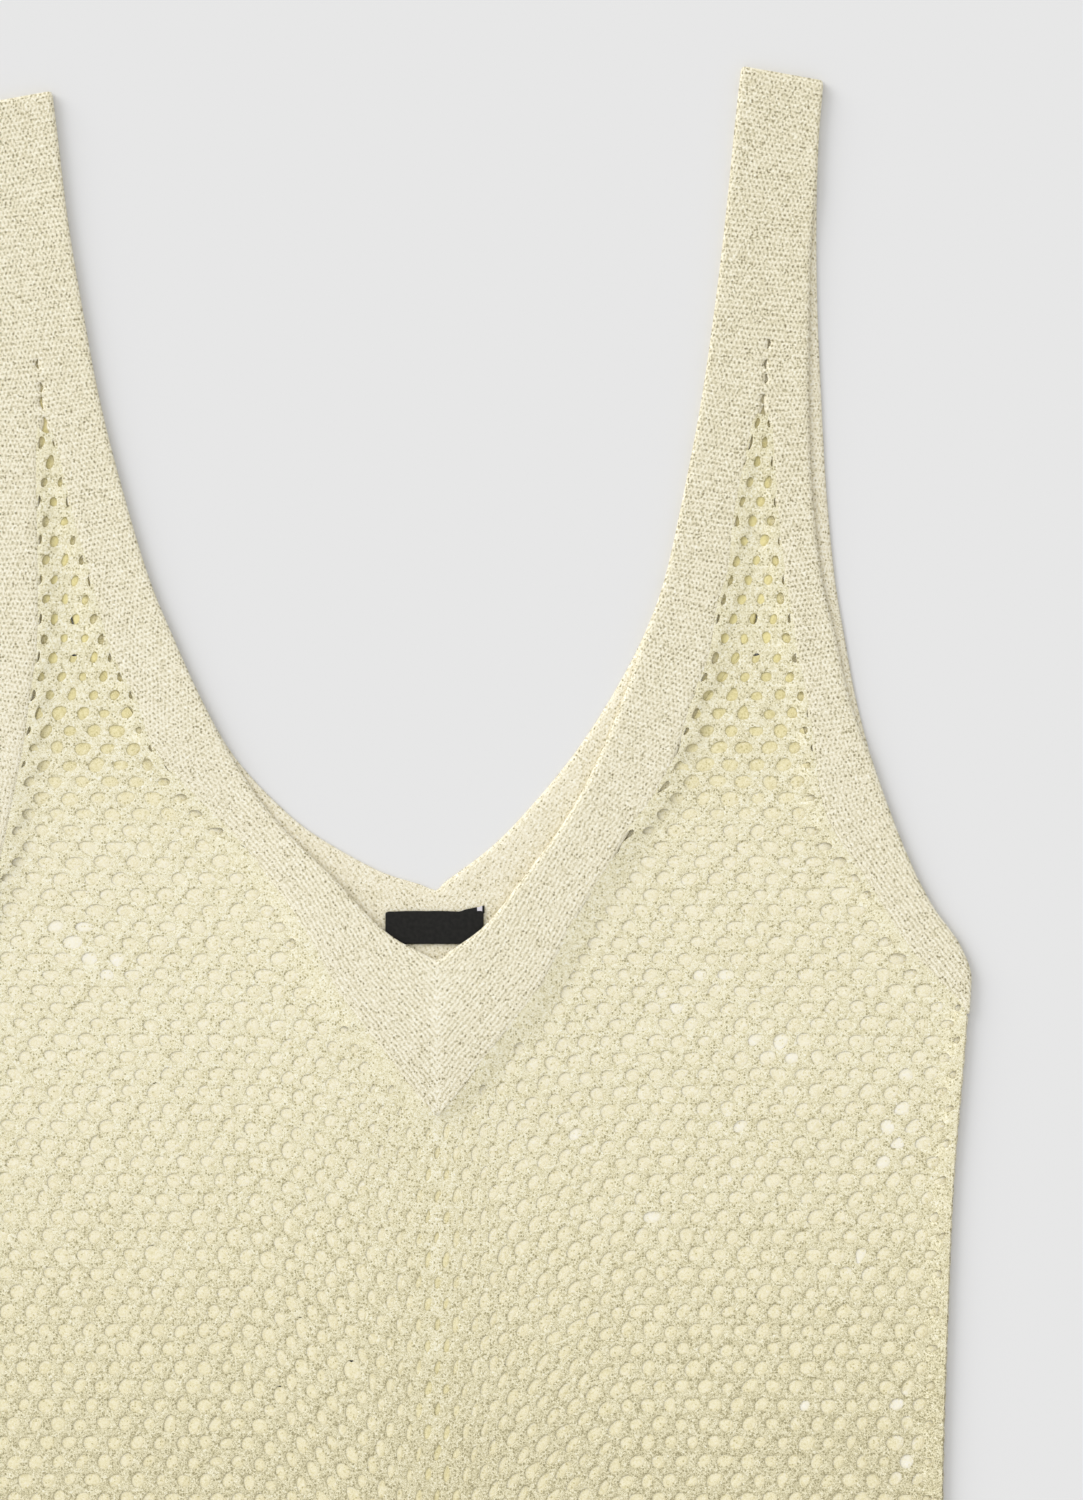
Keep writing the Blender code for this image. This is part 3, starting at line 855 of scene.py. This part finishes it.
def lurexKnit(name, look):
    # pale yellow and matt to the eye, with olive dots between the stitches and bright glints, which are
    # metallic and also drawn lighter, a painted highlight
    material, tree, shader = newMaterial(name, look["finish"])
    node = functools.partial(addNode, tree)
    place3 = node("TexCoord", {}, ()).outputs["Object"]
    knit = node("Attribute", {"attribute_name": "knit"}, ()).outputs["Vector"]
    wale, course, dark = node("SeparateXYZ", {}, (knit,)).outputs
    noise = {"Vector": place3, "Scale": look["wander"], "Detail": 2.0}
    wander = node("TexNoise", {}, noise).outputs["Color"]
    shift = node("SeparateXYZ", {}, (wander,)).outputs
    # around the V and the underarms the wales show as fine lines along the edge
    alongY = node("SeparateXYZ", {}, (place3,)).outputs[1]
    nearV = node("MapRange", {}, (alongY, look["linesFrom"], look["linesTo"], 0.0, 1.0))
    lines = node("Math", times, (shift[0], 0.5))
    lines = node("Math", plus, (wale, lines))
    lines = node("Math", times, (lines, 2.0 * math.pi))
    lines = node("Math", {"operation": "COSINE"}, (lines,))
    lines = node("Math", times, (lines, nearV))
    lines = node("Math", times, (lines, look["wales"]))
    # purl stitches elsewhere: staggered rows of dark dots between bright loops
    v = node("Math", plus, (course, shift[1]))
    u = node("Math", plus, (wale, shift[0]))
    u = node("Math", plus, (u, node("Math", times, (v, 0.5))))
    waves = []
    for way in (u, v, node("Math", minus, (u, v))):
        turn = node("Math", times, (way, 2.0 * math.pi))
        waves.append(node("Math", {"operation": "COSINE"}, (turn,)))
    stitch = node("Math", plus, (waves[1], waves[2]))
    stitch = node("Math", plus, (waves[0], stitch))
    stitch = node("Math", times, (stitch, -0.33))
    # the yarn itself: curling threads, small pits between them and round metallic glints, also drawn lighter
    # as a painted highlight
    noise = {"Vector": place3, "Scale": look["curl"], "Detail": 1.0, "Distortion": 2.2}
    thread = node("Math", minus, (node("TexNoise", {}, noise), 0.5))
    thread = node("Math", {"operation": "ABSOLUTE"}, (thread,))
    thread = node("MapRange", {}, (thread, 0.0, look["threadWide"], 0.5, -0.5))
    noise = {"Vector": place3, "Scale": look["tone"], "Detail": 2.0, "Distortion": 1.2}
    tone = node("Math", minus, (node("TexNoise", {}, noise), 0.5))
    dots = node("TexVoronoi", {}, {"Vector": place3, "Scale": look["dots"]}).outputs
    chance = node("SeparateXYZ", {}, (dots["Color"],))
    nearDot = node("MapRange", {}, (dots["Distance"], look["dotCore"], look["dotEdge"], 1.0, 0.0))
    pit = node("Math", {"operation": "LESS_THAN"}, (chance, look["pits"]))
    pit = node("Math", times, (pit, nearDot))
    glint = node("Math", {"operation": "GREATER_THAN"}, (chance, look["glints"]))
    glint = node("Math", times, (glint, nearDot))
    # all of these, each by its share, give the place on the ramp of colours
    fade = node("Math", times, (nearV, look["linesHide"]))
    fade = node("Math", minus, (1.0, fade))
    value = node("Math", times, (stitch, look["stitch"]))
    value = node("Math", times, (value, fade))
    value = node("Math", plus, (value, lines))
    shares = ((thread, look["threadShare"]), (tone, look["toneShare"]), (pit, -look["pitDepth"]),
              (glint, look["paintedGlint"]))
    for part, share in shares:
        value = node("Math", plus, (value, node("Math", times, (part, share))))
    value = node("Math", plus, (value, 0.5))
    # painted shade and painted light from the knit attribute's third part
    value = node("Math", minus, (value, node("Math", times, (dark, look["darker"]))))
    colour = node("ValToRGB", {"stops": look["colours"]}, (value,))
    # painted shade: the inside of the back is drawn olive yellow where the front's strap lies over it and
    # shades it, and a little towards the waist and in the wells at the centre
    under = node("Math", {"operation": "MULTIPLY", "use_clamp": True}, (dark, look["shadeTint"]))
    shadeTint = {0: under, 6: colour, 7: linear(look["shadeTintColour"])}
    shadeTinted = node("Mix", {"data_type": "RGBA"}, shadeTint)
    height = node("Math", times, (stitch, look["relief"]))
    threadHeight = node("Math", times, (thread, look["threadRelief"]))
    height = node("Math", plus, (height, threadHeight))
    pitDown = node("Math", times, (pit, look["pitRelief"]))
    height = node("Math", minus, (height, pitDown))
    relief = {"Strength": look["bump"], "Distance": look["reliefDeep"], "Height": height.outputs[0]}
    bump = node("Bump", {}, relief)
    metal = node("Math", times, (glint, look["glintMetal"]))
    tree.links.new(shadeTinted.outputs[2], shader.inputs["Base Color"])
    tree.links.new(bump.outputs[0], shader.inputs["Normal"])
    tree.links.new(metal.outputs[0], shader.inputs["Metallic"])
    return material


netMaterial = lurexKnit("lurex_net", netLook)
bandMaterial = lurexKnit("lurex_dense_knit", bandLook)
backBandMaterial = lurexKnit("lurex_dense_knit_inside", backBandLook)
innerMaterial = lurexKnit("lurex_net_inside", innerLook)

# Woven satin ribbon. The scales are cells to a metre, drawn coarser than the real threads so that they show.
satin = {"weave": 900.0, "grain": 700.0, "bump": 0.2, "reliefDeep": 0.0002,
         "finish": {"Roughness": 0.6, "Specular IOR Level": 0.15}}


def ribbonMaterial(name, dark, light):
    # fine slanting threads and a soft shine
    material, tree, shader = newMaterial(name, satin["finish"])
    node = functools.partial(addNode, tree)
    place3 = node("TexCoord", {}, ()).outputs["Object"]
    threads = {"Vector": place3, "Scale": satin["weave"]}
    weave = node("TexWave", {"bands_direction": "DIAGONAL"}, threads)
    grain = node("TexNoise", {}, {"Vector": place3, "Scale": satin["grain"], "Detail": 2.0})
    colour = node("ValToRGB", {"stops": [(0.3, dark), (0.7, light)]}, (grain,))
    relief = {"Strength": satin["bump"], "Distance": satin["reliefDeep"], "Height": weave.outputs[1]}
    bump = node("Bump", {}, relief)
    tree.links.new(colour.outputs[0], shader.inputs["Base Color"])
    tree.links.new(bump.outputs[0], shader.inputs["Normal"])
    return material


ribbon = ribbonMaterial("black_satin_ribbon", "#1b1b19", "#252422")
paleRibbon = ribbonMaterial("pale_printed_ribbon", "#cfcbd2", "#e2dfe4")
print("materials made")

# The back's net lies half a wale and about a third of a row aside from the front's
frontPoints = latticePoints("front", (0.0, 0.0), np.random.default_rng(5))
backPoints = latticePoints("back", (0.5, 0.36), np.random.default_rng(6))
viewRow = int(np.interp(viewFoot, dropSamples, rowsDown(rowWale)))
middleRow = (viewRow + netRows) // 2 - 6    # divides the front's skirt in two pieces of about the same size

# name, panel, corners, first and last row, the steps down into an eyelet (size, depth) and the smoothing
nets = [
    ("front_net", "front", frontPoints, (1, viewRow), [(1.2, 0.02), (1 / 1.2, 0.09)], 1),
    ("front_skirt_upper", "front", frontPoints, (viewRow, middleRow), [(1.0, 0.15)], 1),
    ("front_skirt_lower", "front", frontPoints, (middleRow, netRows), [(1.0, 0.15)], 1),
    ("back_net", "back", backPoints, (1, viewRow), [(1.0, 0.2)], 1),
    ("back_skirt", "back", backPoints, (viewRow, netRows), [(0.9, 0.2)], 0),
]
pieces = {}
for seed, (name, panel, points, rowSpan, profile, levels) in enumerate(nets):
    piece = makeNet(name, panel, points, rowSpan, profile, levels, np.random.default_rng(20 + seed))
    piece.data.materials.append(netMaterial if panel == "front" else innerMaterial)
    pieces[name] = piece
    print(name, "made")

pieces["front_bands"] = makeBands("front_bands", "front", bands["frontFoot"])
pieces["back_bands"] = makeBands("back_bands", "back", bands["backFoot"])
pieces["front_hem"] = makeHem("front_hem", "front")
pieces["back_hem"] = makeHem("back_hem", "back")
for name in ("front_bands", "back_bands", "front_hem", "back_hem"):
    pieces[name].data.materials.append(bandMaterial if name.startswith("front") else backBandMaterial)
print("bands made")

for name, piece in pieces.items():
    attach(piece, "root")
    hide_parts("front_panel" if name.startswith("front") else "back_panel")

# Label and size tab: top and bottom are drops, low and high the heights of the two plies
label = {
    "left": -19.5, "right": 17.6, "top": 317.3, "bottom": 329.7, "low": 2.1, "high": 2.72, "ply": 0.22,
    "taper": 0.0, "columns": 14, "bulge": 0.12, "wavy": 0.18,
}
tab = {
    "left": 8.4, "right": 17.9, "top": 315.2, "bottom": 318.2, "low": 2.32, "high": 2.52, "ply": 0.14,
    "taper": 2.1, "columns": 10, "bulge": 0.12, "wavy": 0.18, "paleFrom": 14.6, "paleTo": 17.2,
}


def foldedRibbon(name, size):
    # a ribbon folded in two: up the lower ply, round the fold along the foot, and back over the upper ply
    radius = (size["high"] - size["low"]) / 2
    middle = (size["high"] + size["low"]) / 2
    foot = size["bottom"] - radius
    turns = np.linspace(0.0, math.pi, 7)[1:-1]
    path = [(size["top"] + (foot - size["top"]) * t, size["low"]) for t in np.linspace(0.0, 1.0, 7)]
    path += [(foot + radius * math.sin(turn), middle - radius * math.cos(turn)) for turn in turns]
    path += [(foot + (size["top"] - foot) * t, size["high"]) for t in np.linspace(0.0, 1.0, 9)]
    mesh = bmesh.new()
    rows = []
    for k, (drop, z) in enumerate(path):
        row = []
        for j in range(size["columns"] + 1):
            share = j / size["columns"]
            x = size["left"] + (size["right"] - size["left"]) * share
            reach = (foot - drop) / (foot - size["top"])
            bulge = size["bulge"] * math.sin(math.pi * share) * math.sin(math.pi * min(max(reach, 0.0), 1.0))
            bulge = bulge if k > 9 else 0.0     # only the upper ply bulges
            wave = size["wavy"] * math.sin(share * 9.0 + k * 0.1)
            edge = max(reach, 0.0) * (size["taper"] * (1.0 - share) + wave)
            row.append(mesh.verts.new(place(x, drop + edge, z + bulge)))
        rows.append(row)
    for lower, upper in zip(rows, rows[1:]):
        for j in range(size["columns"]):
            mesh.faces.new([lower[j], lower[j + 1], upper[j + 1], upper[j]])
    bmesh.ops.recalc_face_normals(mesh, faces=mesh.faces[:])
    mesh.normal_update()
    if sum(f.normal.z for f in mesh.faces if f.calc_center_median().z > middle * mm) < 0.0:
        bmesh.ops.reverse_faces(mesh, faces=mesh.faces[:])
    return addPiece(name, mesh, 2, thickness=size["ply"])


labelPiece = foldedRibbon("ribbon_label", label)
tabPiece = foldedRibbon("ribbon_tab", tab)
labelPiece.data.materials.append(ribbon)
tabPiece.data.materials.append(ribbon)
tabPiece.data.materials.append(paleRibbon)
for face in tabPiece.data.polygons:
    if tab["paleFrom"] * mm < face.center.x < tab["paleTo"] * mm:
        face.material_index = 1
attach(labelPiece, "root")
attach(tabPiece, "root")
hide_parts("label")
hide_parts("size_tab")
print("label made")

# Floor: a matt table, pale grey to the eye, without any shine
tableTop = {
    "size": 3.0,
    "finish": {"Base Color": linear("#e7e7e7"), "Roughness": 0.9, "Specular IOR Level": 0.0},
}
floorMesh = bmesh.new()
bmesh.ops.create_grid(floorMesh, x_segments=1, y_segments=1, size=tableTop["size"])
floorData = bpy.data.meshes.new("floor")
floorMesh.to_mesh(floorData)
floorMesh.free()
floor = bpy.data.objects.new("floor", floorData)
scene.collection.objects.link(floor)
floorData.materials.append(newMaterial("matt_white_table", tableTop["finish"])[0])

# The three lights add up to the table's own brightness: an even tent, a big softbox and a low one behind the
# left strap. Angles are in degrees.
tent = {"colour": (1.0, 1.0, 1.0, 1.0), "share": 0.70}
softboxes = {
    "softbox": {"share": 0.08, "lean": 34.0, "turn": -42.0, "spread": 60.0},
    "low_softbox": {"share": 0.22, "lean": 66.0, "turn": -34.0, "spread": 40.0},
}

world = bpy.data.worlds.new("studio")
scene.world = world
world.use_nodes = True
world.node_tree.nodes["Background"].inputs[0].default_value = tent["colour"]
world.node_tree.nodes["Background"].inputs[1].default_value = tent["share"]

for name, box in softboxes.items():
    sunData = bpy.data.lights.new(name, "SUN")
    sunData.energy = box["share"] * math.pi / math.cos(math.radians(box["lean"]))
    sunData.angle = math.radians(box["spread"])
    sun = bpy.data.objects.new(name, sunData)
    sun.rotation_euler = (0.0, math.radians(-box["lean"]), math.radians(box["turn"]))
    scene.collection.objects.link(sun)

# Camera: straight down, far enough away for the picture's height to fill the sensor at the cloth
view = {"x": 0.03919, "y": 0.40313, "tall": 0.5625, "cloth": 0.0035, "lens": 200.0, "sensor": 36.0}
cameraData = bpy.data.cameras.new("camera")
cameraData.lens = view["lens"]
cameraData.clip_end = 50.0
camera = bpy.data.objects.new("camera", cameraData)
camera.location = (view["x"], view["y"], view["tall"] * view["lens"] / view["sensor"] + view["cloth"])
scene.collection.objects.link(camera)
scene.camera = camera
scene.view_settings.view_transform = "Standard"
print("stage ready")
